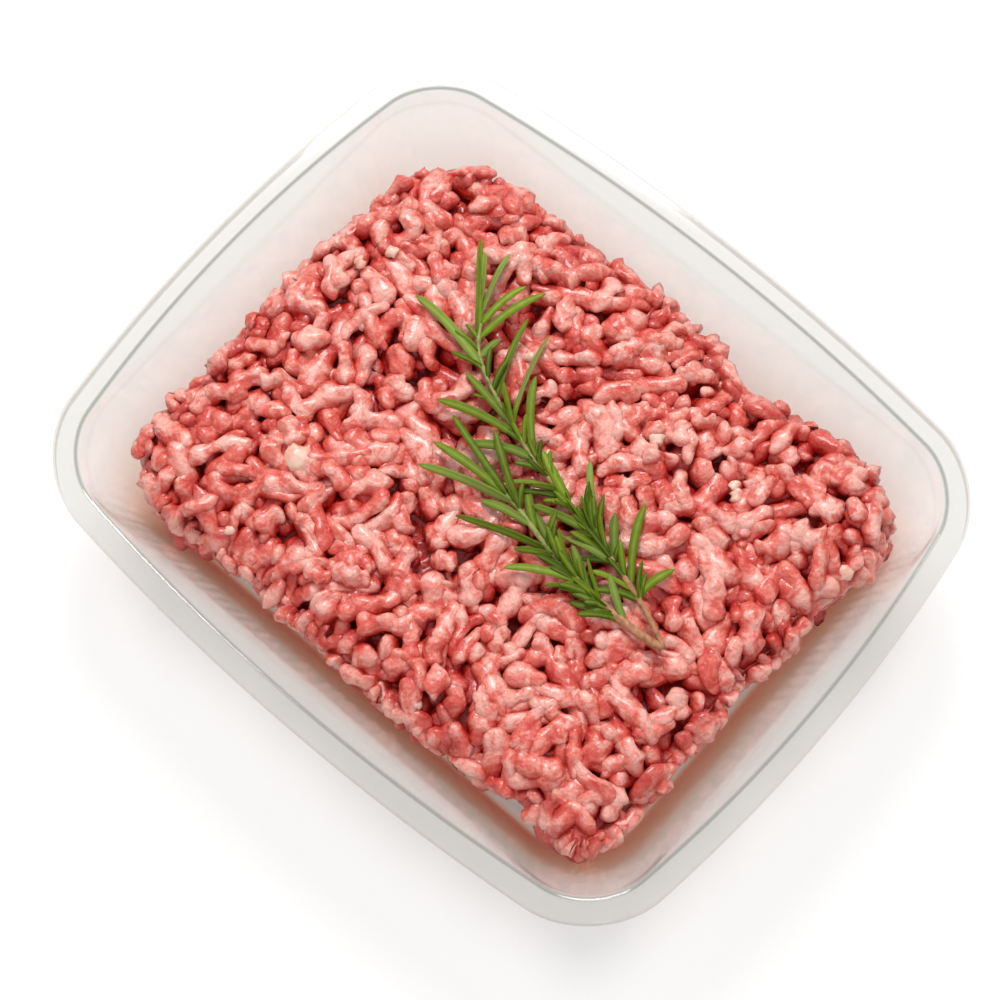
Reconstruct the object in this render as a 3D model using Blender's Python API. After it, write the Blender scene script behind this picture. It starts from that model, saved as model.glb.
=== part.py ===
"""Open clear tray holding a slab of raw minced meat with a sprig of rosemary on top.

Metres, +Z up. The origin is at the middle of the tray's underside, X runs along the tray's
long side and the tray stands on Z = 0. The tray is one thin formed sheet: a flat floor, walls
that lean outwards, a step, a flat rim and a short turned-down lip. The meat is one lumpy slab
that stands on the floor, and the sprig, two twigs that meet at the cut end, lies across it.
"""
import math

import bmesh
import bpy
from mathutils import Vector, noise

MM = 0.001

# Tray: the half sizes, corner radii and outward bow of its outlines, and its levels.
TRAY_HEIGHT = 38.0 * MM
SHEET = 0.6 * MM
RIM = dict(half_x=93.5 * MM, half_y=76.8 * MM, corner=20.0 * MM, bow=7.0 * MM)
MOUTH = dict(half_x=89.3 * MM, half_y=71.8 * MM, corner=22.0 * MM, bow=0.6 * MM)
FOOT = dict(half_x=76.0 * MM, half_y=58.5 * MM, corner=17.0 * MM, bow=0.0)
MOUTH_DROP = 3.8 * MM
LIP_DROP = 3.6 * MM
RIM_WIDTH = 5.6 * MM
RIM_SOFTNESS = 0.9 * MM
FOOT_RADIUS = 5.0 * MM
FOOT_STEPS = 3
CORNER_STEPS = 12
LONG_SIDE_STEPS = 14
SHORT_SIDE_STEPS = 10

# Gap that keeps neighbouring pieces apart, and the distance at which points count as one.
GAP = 0.3 * MM
MERGE_DISTANCE = 0.001 * MM

# Meat: outline at its widest level, counter-clockwise from the far right corner, in mm.
MEAT_OUTLINE_MM = (
    (80.5, 57.0), (70.0, 61.5), (60.0, 66.0), (52.0, 65.0), (38.0, 62.5), (23.0, 61.5),
    (14.0, 65.0), (-8.0, 67.0), (-28.0, 66.0), (-38.0, 64.0), (-48.0, 65.0), (-61.0, 63.0),
    (-72.0, 57.0), (-79.0, 46.0), (-80.0, 30.0), (-83.0, 6.0), (-80.5, -28.0), (-80.5, -46.0),
    (-77.5, -57.0), (-66.0, -61.5), (-52.0, -63.5), (-38.0, -61.5), (-6.0, -63.0),
    (18.0, -63.5), (40.0, -61.5), (58.0, -59.5), (72.0, -62.0), (77.5, -57.0), (78.5, -44.0),
    (78.0, -30.0), (79.0, -18.0), (78.0, -4.0), (79.5, 12.0), (80.0, 28.0), (83.0, 42.0),
)
# The meat's side: how far it stands in from that outline, and at what level, in mm.
MEAT_SIDE_MM = ((9.5, 4.5), (5.0, 11.5), (1.6, 19.0), (0.0, 25.5), (1.3, 28.6))
MEAT_BASE_INSET = 13.0 * MM
MEAT_TOP_INSET = 4.5 * MM
MEAT_TOP = 31.0 * MM
MEAT_TOP_RINGS = 11
MEAT_STEPS = 96
LUMP_SIZE = 13.0 * MM
LUMP_DEPTH = 2.0 * MM
SWELL_SIZE = 38.0 * MM
SWELL_DEPTH = 1.0 * MM

# Rosemary: each twig runs from the shared cut end to its tip, seen from above, in mm.
LONG_TWIG_MM = (
    (57.0, -8.5), (46.0, -3.5), (30.0, 1.2), (16.0, 4.5), (3.0, 7.3), (-12.0, 12.0),
    (-27.0, 19.5), (-34.0, 28.0), (-38.0, 33.0),
)
SHORT_TWIG_MM = ((57.0, -8.9), (46.0, -10.0), (33.0, -9.2), (20.0, -7.8), (8.0, -5.0), (1.0, -3.8))
# Needles: distance of the foot from the cut end, then the tip from above, all in mm.
LONG_TWIG_NEEDLES = (
    (14.5, 46, 9), (16, 31, -5), (17, 30, 17), (23, 26, 10), (25, 20, -3), (30, 12, 17),
    (34, 9, -2), (43, 1, 11), (49, 0, -1), (58, -13, 25), (58, -14, 0), (65, -28, 4),
    (69, -18, 36), (69, -27, 14), (77, -25, 36), (85, -51, 22), (89, -27, 27), (94, -26, 44),
    (95, -49, 45), (98, -31, 42), (101, -40, 46), (104, -45, 42),
)
SHORT_TWIG_NEEDLES = (
    (11, 35, -3), (13, 32, -14.5), (22, 23, -3), (26, 14, -18.5), (33, 9, -2), (37, -4, -16),
    (43, 4, 2), (45, -2, -9), (49, -11, 7), (52, -20, -12), (53.5, -22, 3.5), (55.5, -21, -5),
)
TWIG_RADIUS = 1.2 * MM
TWIG_TIP_RADIUS = 0.8 * MM
TWIG_STEPS = 16
TWIG_SIDES = 6
TWIG_LIFT = 2.7 * MM
NEEDLE_WIDTH = 2.5 * MM
NEEDLE_THICKNESS = 1.5 * MM
NEEDLE_TIP = 0.3
NEEDLE_BOW = 0.08
NEEDLE_RISE = 2.0 * MM
NEEDLE_STEPS = 5

CLEAR_PLASTIC = dict(colour=(0.84, 0.82, 0.78), roughness=0.08, alpha=0.35)
RAW_MEAT = dict(colour=(0.66, 0.19, 0.15), roughness=0.35)
HERB_GREEN = dict(colour=(0.15, 0.20, 0.03), roughness=0.5)


def clear_scene():
    """Remove everything that a new scene starts with."""
    for item in list(bpy.data.objects):
        bpy.data.objects.remove(item, do_unlink=True)


def material(name, colour, roughness, alpha=1.0):
    """A plain finish: its colour, its roughness and how little can be seen through it."""
    finish = bpy.data.materials.new(name)
    finish.use_nodes = True
    shader = finish.node_tree.nodes["Principled BSDF"]
    shader.inputs["Base Color"].default_value = (*colour, 1.0)
    shader.inputs["Roughness"].default_value = roughness
    shader.inputs["Metallic"].default_value = 0.0
    shader.inputs["Alpha"].default_value = alpha
    return finish


def add_object(name, shape, finish):
    """Turn a bmesh into a named, smooth-shaded object with its own finish."""
    bmesh.ops.recalc_face_normals(shape, faces=shape.faces)
    mesh = bpy.data.meshes.new(name)
    shape.to_mesh(mesh)
    shape.free()
    mesh.materials.append(finish)
    mesh.shade_smooth()
    mesh.set_sharp_from_angle(angle=math.radians(40))
    item = bpy.data.objects.new(name, mesh)
    bpy.context.collection.objects.link(item)
    return item


def loft(rings):
    """Join rings of equal length by bands of faces and close both ends with one face."""
    shape = bmesh.new()
    loops = [[shape.verts.new(point) for point in ring] for ring in rings]
    for lower, upper in zip(loops, loops[1:]):
        for i in range(len(lower)):
            j = (i + 1) % len(lower)
            shape.faces.new((lower[i], lower[j], upper[j], upper[i]))
    shape.faces.new(reversed(loops[0]))
    shape.faces.new(loops[-1])
    return shape


def smooth_curve(points, closed):
    """A function of 0 to 1 that runs through the points as a Catmull-Rom spline."""
    count = len(points)
    pieces = count if closed else count - 1

    def pick(i):
        if closed:
            return points[i % count]
        return points[min(max(i, 0), count - 1)]

    def at(share):
        place = min(share, 1.0) * pieces
        i = min(int(place), pieces - 1)
        t = place - i
        before, start, end, after = (pick(i + k) for k in (-1, 0, 1, 2))
        bend = (2 * before - 5 * start + 4 * end - after) * t + (3 * (start - end) + after - before) * t * t
        return start + 0.5 * t * (end - before + bend)

    return at


def even_points(points, closed, count, fine=400):
    """Points at equal steps of length along the smooth curve through the given points."""
    curve = smooth_curve(points, closed)
    track = [curve(i / fine) for i in range(fine + 1)]
    lengths = [0.0]
    for a, b in zip(track, track[1:]):
        lengths.append(lengths[-1] + (b - a).length)
    steps = count if closed else count - 1
    result = []
    i = 0
    for step in range(count):
        target = lengths[-1] * step / steps
        while lengths[i + 1] < target and i < fine - 1:
            i += 1
        share = (target - lengths[i]) / (lengths[i + 1] - lengths[i])
        result.append(track[i].lerp(track[i + 1], share))
    return result


# ---- tray ----

def tray_outline(half_x, half_y, corner, bow, inset, level, cut_corners=False):
    """A ring of points: a rounded rectangle, shrunk by an inset, whose sides bow outwards.

    A side swells by bow * (1 - (s / half side)^2), s being the place along that side. With
    cut corners, the points of each corner fall together at its two ends.
    """
    half_x -= inset
    half_y -= inset
    corner -= inset
    ring = []
    for quarter in range(4):
        sign_x = 1 if quarter in (0, 3) else -1
        sign_y = 1 if quarter in (0, 1) else -1
        middle = Vector((sign_x * (half_x - corner), sign_y * (half_y - corner)))
        for step in range(CORNER_STEPS + 1):
            share = step / CORNER_STEPS
            angle = math.radians(90 * (quarter + (math.floor(share + 0.5) if cut_corners else share)))
            ring.append(middle + corner * Vector((math.cos(angle), math.sin(angle))))
        heading = math.radians(90 * (quarter + 2))
        run = 2 * (half_x - corner) if quarter % 2 == 0 else 2 * (half_y - corner)
        steps = LONG_SIDE_STEPS if quarter % 2 == 0 else SHORT_SIDE_STEPS
        along = run * Vector((math.cos(heading), math.sin(heading)))
        end = ring[-1]
        ring += [end + along * step / steps for step in range(1, steps)]
    bowed = []
    for point in ring:
        x = point.x + bow * (1 - (point.y / half_y) ** 2) * point.x / half_x
        y = point.y + bow * (1 - (point.x / half_x) ** 2) * point.y / half_y
        bowed.append(Vector((x, y, level)))
    return bowed


def tray_section():
    """The tray's upper face from the floor to the lip: outline, inset and level."""
    lean = math.atan2(MOUTH["half_x"] - FOOT["half_x"], TRAY_HEIGHT - MOUTH_DROP - SHEET)
    turn = math.pi / 2 - lean
    reach = FOOT_RADIUS * math.tan(turn / 2)
    section = []
    for step in range(FOOT_STEPS + 1):
        angle = turn * step / FOOT_STEPS
        inset = reach - FOOT_RADIUS * math.sin(angle)
        section.append((FOOT, inset, SHEET + FOOT_RADIUS * (1 - math.cos(angle))))
    section += [
        (MOUTH, 0.0, TRAY_HEIGHT - MOUTH_DROP),
        (RIM, RIM_WIDTH + RIM_SOFTNESS, TRAY_HEIGHT - RIM_SOFTNESS),
        (RIM, RIM_WIDTH, TRAY_HEIGHT),
        (RIM, RIM_SOFTNESS, TRAY_HEIGHT),
        (RIM, 0.0, TRAY_HEIGHT - RIM_SOFTNESS),
        (RIM, 0.0, TRAY_HEIGHT - LIP_DROP),
    ]
    return section


def underside(section):
    """The same section, one sheet thickness lower, measured square to the sheet."""
    places = [Vector((0.0, section[0][2]))]
    for outline, inset, level in section:
        places.append(Vector((outline["half_x"] + outline["bow"] - inset, level)))
    normals = []
    for a, b in zip(places, places[1:]):
        along = (b - a).normalized()
        normals.append(Vector((along.y, -along.x)))
    normals.append(normals[-1])
    lower = []
    for (outline, inset, level), first, second in zip(section, normals, normals[1:]):
        shift = SHEET * (first + second) / (1 + first.dot(second))
        lower.append((outline, inset - shift.x, level + shift.y))
    return lower


def build_tray(finish):
    """The sheet as one closed skin: up the inner face, over the lip and down the outside.

    The flat floor, at both ends of the skin, is a rectangle with cut corners.
    """
    upper = tray_section()
    stations = upper + underside(upper)[::-1]
    rings = []
    for number, (outline, inset, level) in enumerate(stations):
        cut_corners = number in (0, len(stations) - 1)
        rings.append(tray_outline(**outline, inset=inset, level=level, cut_corners=cut_corners))
    shape = loft(rings)
    bmesh.ops.remove_doubles(shape, verts=shape.verts, dist=MERGE_DISTANCE)
    return add_object("tray", shape, finish)


# ---- meat ----

def meat_swell(x, y):
    """Slow rise and fall of the slab's top."""
    return MEAT_TOP + SWELL_DEPTH * noise.noise(Vector((x, y, 0.0)) / SWELL_SIZE)


def lumps(point):
    """Bumps as large as the meat's clumps, as a signed depth."""
    return LUMP_DEPTH * noise.noise(point / LUMP_SIZE)


def build_meat(finish):
    """Rings from the flat underside up the side and in over the top to a small last ring."""
    outline = even_points([Vector(p) * MM for p in MEAT_OUTLINE_MM], True, MEAT_STEPS)
    base = SHEET + GAP
    rings = [[Vector((*(p * (1 - MEAT_BASE_INSET / p.length)), base)) for p in outline]]
    for inset, level in MEAT_SIDE_MM:
        ring = []
        for p in outline:
            point = Vector((*(p * (1 - inset * MM / p.length)), level * MM))
            push = lumps(point) * level * MM / MEAT_TOP
            outward = p.normalized() * push
            ring.append(point + Vector((*outward, 0.0)))
        rings.append(ring)
    for step in range(MEAT_TOP_RINGS):
        share = 1 - step / MEAT_TOP_RINGS
        ring = []
        for p in outline:
            flat = p * (1 - MEAT_TOP_INSET / p.length) * share
            point = Vector((*flat, meat_swell(*flat)))
            ring.append(point + Vector((0.0, 0.0, lumps(point))))
        rings.append(ring)
    return add_object("mince", loft(rings), finish)


# ---- rosemary ----

def tube(spine, width, thickness, sides):
    """A closed tube along a spine; width and thickness are full sizes for each spine point."""
    rings = []
    for i, point in enumerate(spine):
        ahead = spine[min(i + 1, len(spine) - 1)] - spine[max(i - 1, 0)]
        side = Vector((-ahead.y, ahead.x, 0.0)).normalized()
        up = ahead.cross(side).normalized()
        ring = []
        for k in range(sides):
            angle = 2 * math.pi * k / sides
            across = side * math.cos(angle) * width[i] / 2
            ring.append(point + across + up * math.sin(angle) * thickness[i] / 2)
        rings.append(ring)
    return loft(rings)


def twig_spine(points_mm):
    """The middle line of a twig, lying just above the slab's lumps."""
    flat = even_points([Vector(p) * MM for p in points_mm], False, TWIG_STEPS)
    return [Vector((p.x, p.y, meat_swell(p.x, p.y) + TWIG_LIFT)) for p in flat]


def twig_tube(spine):
    """The twig itself, thinner towards its tip."""
    last = len(spine) - 1
    size = [2 * (TWIG_RADIUS + (TWIG_TIP_RADIUS - TWIG_RADIUS) * i / last) for i in range(last + 1)]
    return tube(spine, size, size, TWIG_SIDES)


def point_along(spine, distance):
    """The point of a polyline at a distance from its start."""
    for a, b in zip(spine, spine[1:]):
        step = (b - a).length
        if distance <= step:
            return a.lerp(b, distance / step)
        distance -= step
    return spine[-1].copy()


def needle(spine, station, tip_x, tip_y):
    """A flat leaf from the twig's middle to its tip, bowed upwards and to one side."""
    foot = point_along(spine, station * MM)
    tip = Vector((tip_x * MM, tip_y * MM, foot.z))
    run = tip - foot
    side = Vector((run.y, -run.x, 0.0)) * math.copysign(NEEDLE_BOW, run.y)
    line = []
    width = []
    thickness = []
    for i in range(NEEDLE_STEPS + 1):
        t = i / NEEDLE_STEPS
        arch = 4 * t * (1 - t)
        line.append(foot + run * t + side * arch + Vector((0.0, 0.0, NEEDLE_RISE * t)))
        fullness = NEEDLE_TIP + (1 - NEEDLE_TIP) * math.sqrt(arch)
        width.append(NEEDLE_WIDTH * fullness)
        thickness.append(NEEDLE_THICKNESS * fullness)
    return tube(line, width, thickness, 4)


def hide_guide(item):
    """Mark an object as a shape that only takes part in a Boolean."""
    item.hide_render = True
    item.display_type = "WIRE"


def build_rosemary(finish):
    """The long twig, joined with the short twig and all needles into one body."""
    long_spine = twig_spine(LONG_TWIG_MM)
    short_spine = twig_spine(SHORT_TWIG_MM)
    sprig = add_object("rosemary", twig_tube(long_spine), finish)
    guides = bpy.data.collections.new("sprig parts")
    bpy.context.scene.collection.children.link(guides)
    shapes = [twig_tube(short_spine)]
    shapes += [needle(long_spine, *row) for row in LONG_TWIG_NEEDLES]
    shapes += [needle(short_spine, *row) for row in SHORT_TWIG_NEEDLES]
    for number, shape in enumerate(shapes):
        guide = add_object(f"sprig_part_{number:02d}", shape, finish)
        bpy.context.collection.objects.unlink(guide)
        guides.objects.link(guide)
        hide_guide(guide)
    union = sprig.modifiers.new("join", "BOOLEAN")
    union.operation = "UNION"
    union.operand_type = "COLLECTION"
    union.collection = guides
    union.solver = "EXACT"
    return sprig


def main():
    """Build the three pieces."""
    clear_scene()
    build_tray(material("clear plastic", **CLEAR_PLASTIC))
    build_meat(material("raw meat", **RAW_MEAT))
    build_rosemary(material("herb green", **HERB_GREEN))


main()
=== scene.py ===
"""The looks of an open clear tray of raw minced meat with a sprig of rosemary on top.

Metres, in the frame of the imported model: X runs along the tray's long side, Z is up and the tray
stands on Z = 0. Every new piece is a surface worked out as whole numpy arrays: a closed outline
carried through a list of stations, or a ring carried along a middle line. A strand of meat is a
short soft cord that is laid on what already lies below it, so the heap builds up as a real one.
"""
import math

import bpy
import numpy as np
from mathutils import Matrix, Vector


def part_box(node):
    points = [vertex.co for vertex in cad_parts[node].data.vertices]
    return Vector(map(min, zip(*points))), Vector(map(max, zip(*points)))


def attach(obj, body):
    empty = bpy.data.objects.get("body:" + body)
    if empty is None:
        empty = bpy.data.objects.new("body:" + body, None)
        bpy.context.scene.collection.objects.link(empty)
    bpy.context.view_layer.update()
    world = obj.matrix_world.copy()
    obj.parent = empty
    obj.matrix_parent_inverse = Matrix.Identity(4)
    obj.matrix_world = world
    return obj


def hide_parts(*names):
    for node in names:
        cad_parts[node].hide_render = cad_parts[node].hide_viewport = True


MM = 0.001

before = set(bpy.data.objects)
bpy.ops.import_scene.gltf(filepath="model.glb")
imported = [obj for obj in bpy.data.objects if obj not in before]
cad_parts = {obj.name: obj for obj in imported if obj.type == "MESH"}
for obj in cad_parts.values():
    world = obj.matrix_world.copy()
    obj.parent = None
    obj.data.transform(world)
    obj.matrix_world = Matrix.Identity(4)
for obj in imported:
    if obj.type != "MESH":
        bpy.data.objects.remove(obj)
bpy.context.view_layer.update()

RIM_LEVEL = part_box("tray")[1][2]
HEAP_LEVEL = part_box("mince")[1][2]

# Camera: headings in degrees, distance and place of the aim in metres, lens in millimetres.
VIEW_AZIMUTH = 40.9
VIEW_ELEVATION = 70.7
VIEW_DISTANCE = 0.668
VIEW_LENS = 96.95
VIEW_SHIFT = (-0.010, -0.028)
SENSOR_WIDTH = 36.0

# Tray: half sizes, corner radius and outward bow of its outlines (as in the solid), and levels.
SHEET = 0.5 * MM
RIM = np.array((93.4, 76.7, 20.0, 7.0)) * MM
MOUTH = np.array((89.3, 71.8, 22.0, 0.6)) * MM
FOOT = np.array((76.1, 58.6, 17.0, 0.0)) * MM
RIM_WIDTH = 5.6 * MM
STEP_EDGE = 0.9 * MM
MOUTH_DROP = 3.8 * MM
LIP_DROP = 3.6 * MM
FOOT_RADIUS = 5.0 * MM
EDGE_ROUNDING = 0.7 * MM
FLOOR_INSETS = (55.0 * MM, 30.0 * MM, 14.0 * MM)
WALL_STEPS = 12
RIB_PITCH = 4.0 * MM
RIB_DEPTH = 0.12 * MM

# Heap: the level at which its solid is widest, and how far its side stands in at each level.
WIDEST_LEVEL = 25.5 * MM
SIDE_LEVELS = np.array((0.9, 4.5, 11.5, 19.0, 25.5, 28.6)) * MM
SIDE_INSETS = np.array((13.0, 9.5, 5.0, 1.6, 0.0, 1.3)) * MM
CORE_INSET = 3.6 * MM

# The heap's skin: its top, hills and dips, its rounded shoulder, and the loose layers under it.
TOP_LEVEL = HEAP_LEVEL - 0.8 * MM
HILL_SIZE = 27.0 * MM
HILL_HEIGHT = 1.3 * MM
DIP_SIZE = 11.0 * MM
DIP_DEPTH = 1.2 * MM
SHOULDER = 12.0 * MM
SHOULDER_DROP = 9.0 * MM
TOP_LAYER = 6.5 * MM
SIDE_LAYER = 5.6 * MM

# Strands: full radius, shortest and longest in millimetres, and the share by which one sinks in.
STRAND_RADIUS = 2.6 * MM
TOP_LENGTHS = (7.0, 23.0)
SIDE_LENGTHS = (6.0, 20.0)
TOP_SINK = 0.45
SIDE_SINK = 0.5
# How they lie: the room one needs, vain tries before the heap is full, the size of the swirls in
# their direction, and the cells that their heights are kept in.
LEAST_ROOM = 0.9 * MM
VAIN_TRIES = 60
TOP_SWIRL = 24.0 * MM
SIDE_SWIRL = 22.0 * MM
CELL = 0.75 * MM
FIELD_HALF = np.array((96.0, 80.0)) * MM

# The largest flecks of fat, as place in plan and length, and how many small ones there are.
FAT_SPOTS = np.array((
    (-45.0, -30.0, 8.0), (78.0, 37.0, 4.5), (20.0, 33.0, 4.5), (45.0, 35.0, 4.0), (-58.0, 8.0, 4.0),
)) * MM
SMALL_FLECKS = 8

# Sprig: the routes of its two twigs from the cut end, and its needles as (distance of the foot
# from the cut end, tip x, tip y), all in plan.
LONG_TWIG = np.array((
    (57.0, -8.5), (46.0, -3.5), (30.0, 1.2), (16.0, 4.5), (3.0, 7.3), (-12.0, 12.0), (-27.0, 19.5),
    (-34.0, 28.0), (-38.0, 33.0),
)) * MM
SHORT_TWIG = np.array((
    (57.0, -8.9), (46.0, -10.0), (33.0, -9.2), (20.0, -7.8), (8.0, -5.0), (1.0, -3.8),
)) * MM
LONG_TWIG_NEEDLES = np.array((
    (14.5, 46, 9), (16, 31, -5), (17, 30, 17), (23, 26, 10), (25, 20, -3), (30, 12, 17), (34, 9, -2),
    (43, 1, 11), (49, 0, -1), (58, -13, 25), (58, -14, 0), (65, -28, 4), (69, -18, 36), (69, -27, 14),
    (77, -25, 36), (85, -51, 22), (89, -27, 27), (94, -26, 44), (95, -49, 45), (98, -31, 42),
    (101, -40, 46), (104, -45, 42),
)) * MM
SHORT_TWIG_NEEDLES = np.array((
    (11, 35, -3), (13, 32, -14.5), (22, 23, -3), (26, 14, -18.5), (33, 9, -2), (37, -4, -16),
    (43, 4, 2), (45, -2, -9), (49, -11, 7), (52, -20, -12), (53.5, -22, 3.5), (55.5, -21, -5),
)) * MM
NEEDLE_WIDTH = 2.3 * MM
NEEDLE_THICKNESS = 0.85 * MM
YOUNG_NEEDLES = (58, 34)
BARE_END = 12.0 * MM
CUT_RADII = (0.75 * MM, 1.15 * MM)
TIP_RADIUS = 0.5 * MM

# Stage: the floor, the strength of the surrounding, and each lamp's place, size and power.
FLOOR_HALF = 1.6
FLOOR_GAP = 0.2 * MM
SURROUNDING = 0.60
WINDOW_LAMP = ((-0.52, 0.60, 0.95), 0.5, 10.5)
FILL_LAMP = ((0.6, -0.7, 0.8), 0.8, 1.5)

rng = np.random.default_rng(20)


# ---------------------------------------------------------------- numpy tools


def smoothstep(t):
    """0 below 0, 1 above 1 and 3t^2 - 2t^3 between."""
    t = np.clip(t, 0.0, 1.0)
    return t * t * (3.0 - 2.0 * t)


def unit(vectors):
    """Vectors divided by their length along the last axis."""
    return vectors / np.maximum(np.linalg.norm(vectors, axis=-1, keepdims=True), 1e-12)


def cloud(points, size, seed):
    """Soft noise of -1 to 1: random numbers at the corners of cells, blended by smoothstep."""
    place = np.asarray(points, float) / size
    cell = np.floor(place).astype(np.int64)
    blend = place - cell
    blend = blend * blend * (3.0 - 2.0 * blend)
    total = 0.0
    dims = place.shape[-1]
    factors = np.array((73856093, 19349663, 83492791))[:dims]
    for corner in range(2 ** dims):
        bits = np.array([(corner >> axis) & 1 for axis in range(dims)])
        mixed = ((cell + bits) * factors).sum(-1) + seed * 7919
        mixed = (mixed ^ (mixed >> 13)) * 1274126177 & 0x7FFFFFFF
        mixed = (mixed ^ (mixed >> 15)) * 668265263 & 0x7FFFFFFF
        value = (mixed >> 7 & 0xFFFF) / 32767.5 - 1.0
        weight = np.prod(np.where(bits == 1, blend, 1.0 - blend), axis=-1)
        total = total + value * weight
    return total


def grid_quads(rows, columns):
    """Corner numbers of the quads of a grid whose columns join up round it."""
    row = np.arange(rows - 1)[:, None] * columns
    column = np.arange(columns)[None, :]
    after = (column + 1) % columns
    below, beside = row + column, row + after
    return np.stack((below, beside, beside + columns, below + columns), -1).reshape(-1, 4)


def add_piece(name, points, quads, triangles, material, tint=None):
    """A mesh object from arrays of points, quads and triangles, with an optional tint per point."""
    mesh = bpy.data.meshes.new(name)
    mesh.vertices.add(len(points))
    mesh.vertices.foreach_set("co", np.asarray(points, np.float32).ravel())
    corners = np.concatenate((quads.ravel(), triangles.ravel())).astype(np.int32)
    sizes = np.concatenate((np.full(len(quads), 4), np.full(len(triangles), 3)))
    mesh.loops.add(len(corners))
    mesh.loops.foreach_set("vertex_index", corners)
    mesh.polygons.add(len(sizes))
    mesh.polygons.foreach_set("loop_start", (np.cumsum(sizes) - sizes).astype(np.int32))
    mesh.polygons.foreach_set("use_smooth", np.full(len(sizes), True))
    mesh.update(calc_edges=True)
    if tint is not None:
        colours = np.ones((len(points), 4), np.float32)
        colours[:, :tint.shape[1]] = tint
        layer = mesh.attributes.new("tint", "FLOAT_COLOR", "POINT")
        layer.data.foreach_set("color", colours.ravel())
    mesh.materials.append(material)
    piece = bpy.data.objects.new(name, mesh)
    bpy.context.scene.collection.objects.link(piece)
    return piece


def closed_skin(rings):
    """Points and faces of a stack of rings (rows, columns, 3), closed by a pole at each end."""
    rows, columns, _ = rings.shape
    points = np.concatenate((rings.reshape(-1, 3), rings[0].mean(0)[None], rings[-1].mean(0)[None]))
    quads = grid_quads(rows, columns)
    column = np.arange(columns)
    after = (column + 1) % columns
    first = np.full(columns, rows * columns)
    last = (rows - 1) * columns
    triangles = np.concatenate((
        np.stack((after, column, first), -1),
        np.stack((last + column, last + after, first + 1), -1),
    ))
    return points, quads, triangles


def many_skins(rings, tint):
    """The same for a batch of stacks (pieces, rows, columns, 3), with a tint for each point."""
    pieces, rows, columns, _ = rings.shape
    _, quads, triangles = closed_skin(rings[0])
    size = rows * columns + 2
    points = np.concatenate((
        rings.reshape(pieces, -1, 3), rings[:, 0].mean(1)[:, None], rings[:, -1].mean(1)[:, None],
    ), 1)
    shades = np.concatenate((
        tint.reshape(pieces, rows * columns, -1), tint[:, 0, :1], tint[:, -1, :1],
    ), 1)
    start = (np.arange(pieces) * size)[:, None, None]
    return (
        points.reshape(-1, 3), (quads[None] + start).reshape(-1, 4),
        (triangles[None] + start).reshape(-1, 3), shades.reshape(pieces * size, -1),
    )


def round_section(sides):
    """The unit circle as a section (sides, 2)."""
    angle = 2 * math.pi * np.arange(sides) / sides
    return np.stack((np.cos(angle), np.sin(angle)), -1)


def cords(spines, half_width, half_height, section, roll):
    """Rings carried along middle lines (pieces, rows, 3): line + side * w * x + top * h * y.

    (x, y) runs round the unit section. Side starts level and square to the line and top square to
    both, and roll, one angle for each piece or each row, turns the pair about the line.
    """
    pieces, rows, _ = spines.shape
    ahead = unit(np.gradient(spines, axis=1))
    across = unit(np.stack((-ahead[..., 1], ahead[..., 0], np.zeros((pieces, rows))), -1))
    up = np.cross(ahead, across)
    turn = np.broadcast_to(roll.reshape(pieces, -1), (pieces, rows))[..., None]
    side = (across * np.cos(turn) + up * np.sin(turn))[:, :, None]
    top = (up * np.cos(turn) - across * np.sin(turn))[:, :, None]
    wide = (half_width[..., None] * section[:, 0])[..., None]
    high = (half_height[..., None] * section[:, 1])[..., None]
    return spines[:, :, None] + side * wide + top * high


# ---------------------------------------------------------------- finishes
#
# Noise scales are cells to the metre: 210 makes patches 5 mm wide and 900 makes fibres of 1 mm.

def linear(hex_colour):
    """An sRGB hex colour as a linear colour with full alpha."""
    channels = [int(hex_colour[i:i + 2], 16) / 255 for i in (1, 3, 5)]
    return (*(c / 12.92 if c <= 0.04045 else ((c + 0.055) / 1.055) ** 2.4 for c in channels), 1.0)


def new_material(name):
    """An empty node material; returns it with its tree and its output node."""
    material = bpy.data.materials.new(name)
    material.use_nodes = True
    tree = material.node_tree
    tree.nodes.clear()
    return material, tree, tree.nodes.new("ShaderNodeOutputMaterial")


def node(tree, kind, sockets=None, **settings):
    """Add a node, set its properties and set or link its inputs by name or number."""
    made = tree.nodes.new("ShaderNode" + kind)
    for key, value in settings.items():
        setattr(made, key, value)
    for key, value in (sockets or {}).items():
        if isinstance(value, bpy.types.NodeSocket):
            tree.links.new(value, made.inputs[key])
        else:
            made.inputs[key].default_value = value
    return made


def ramp(tree, factor, *stops):
    """A colour ramp through (place, hex colour) stops."""
    made = node(tree, "ValToRGB", {"Fac": factor})
    elements = made.color_ramp.elements
    while len(elements) < len(stops):
        elements.new(0.5)
    for element, (place, colour) in zip(elements, stops):
        element.position = place
        element.color = linear(colour)
    return made.outputs["Color"]


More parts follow.
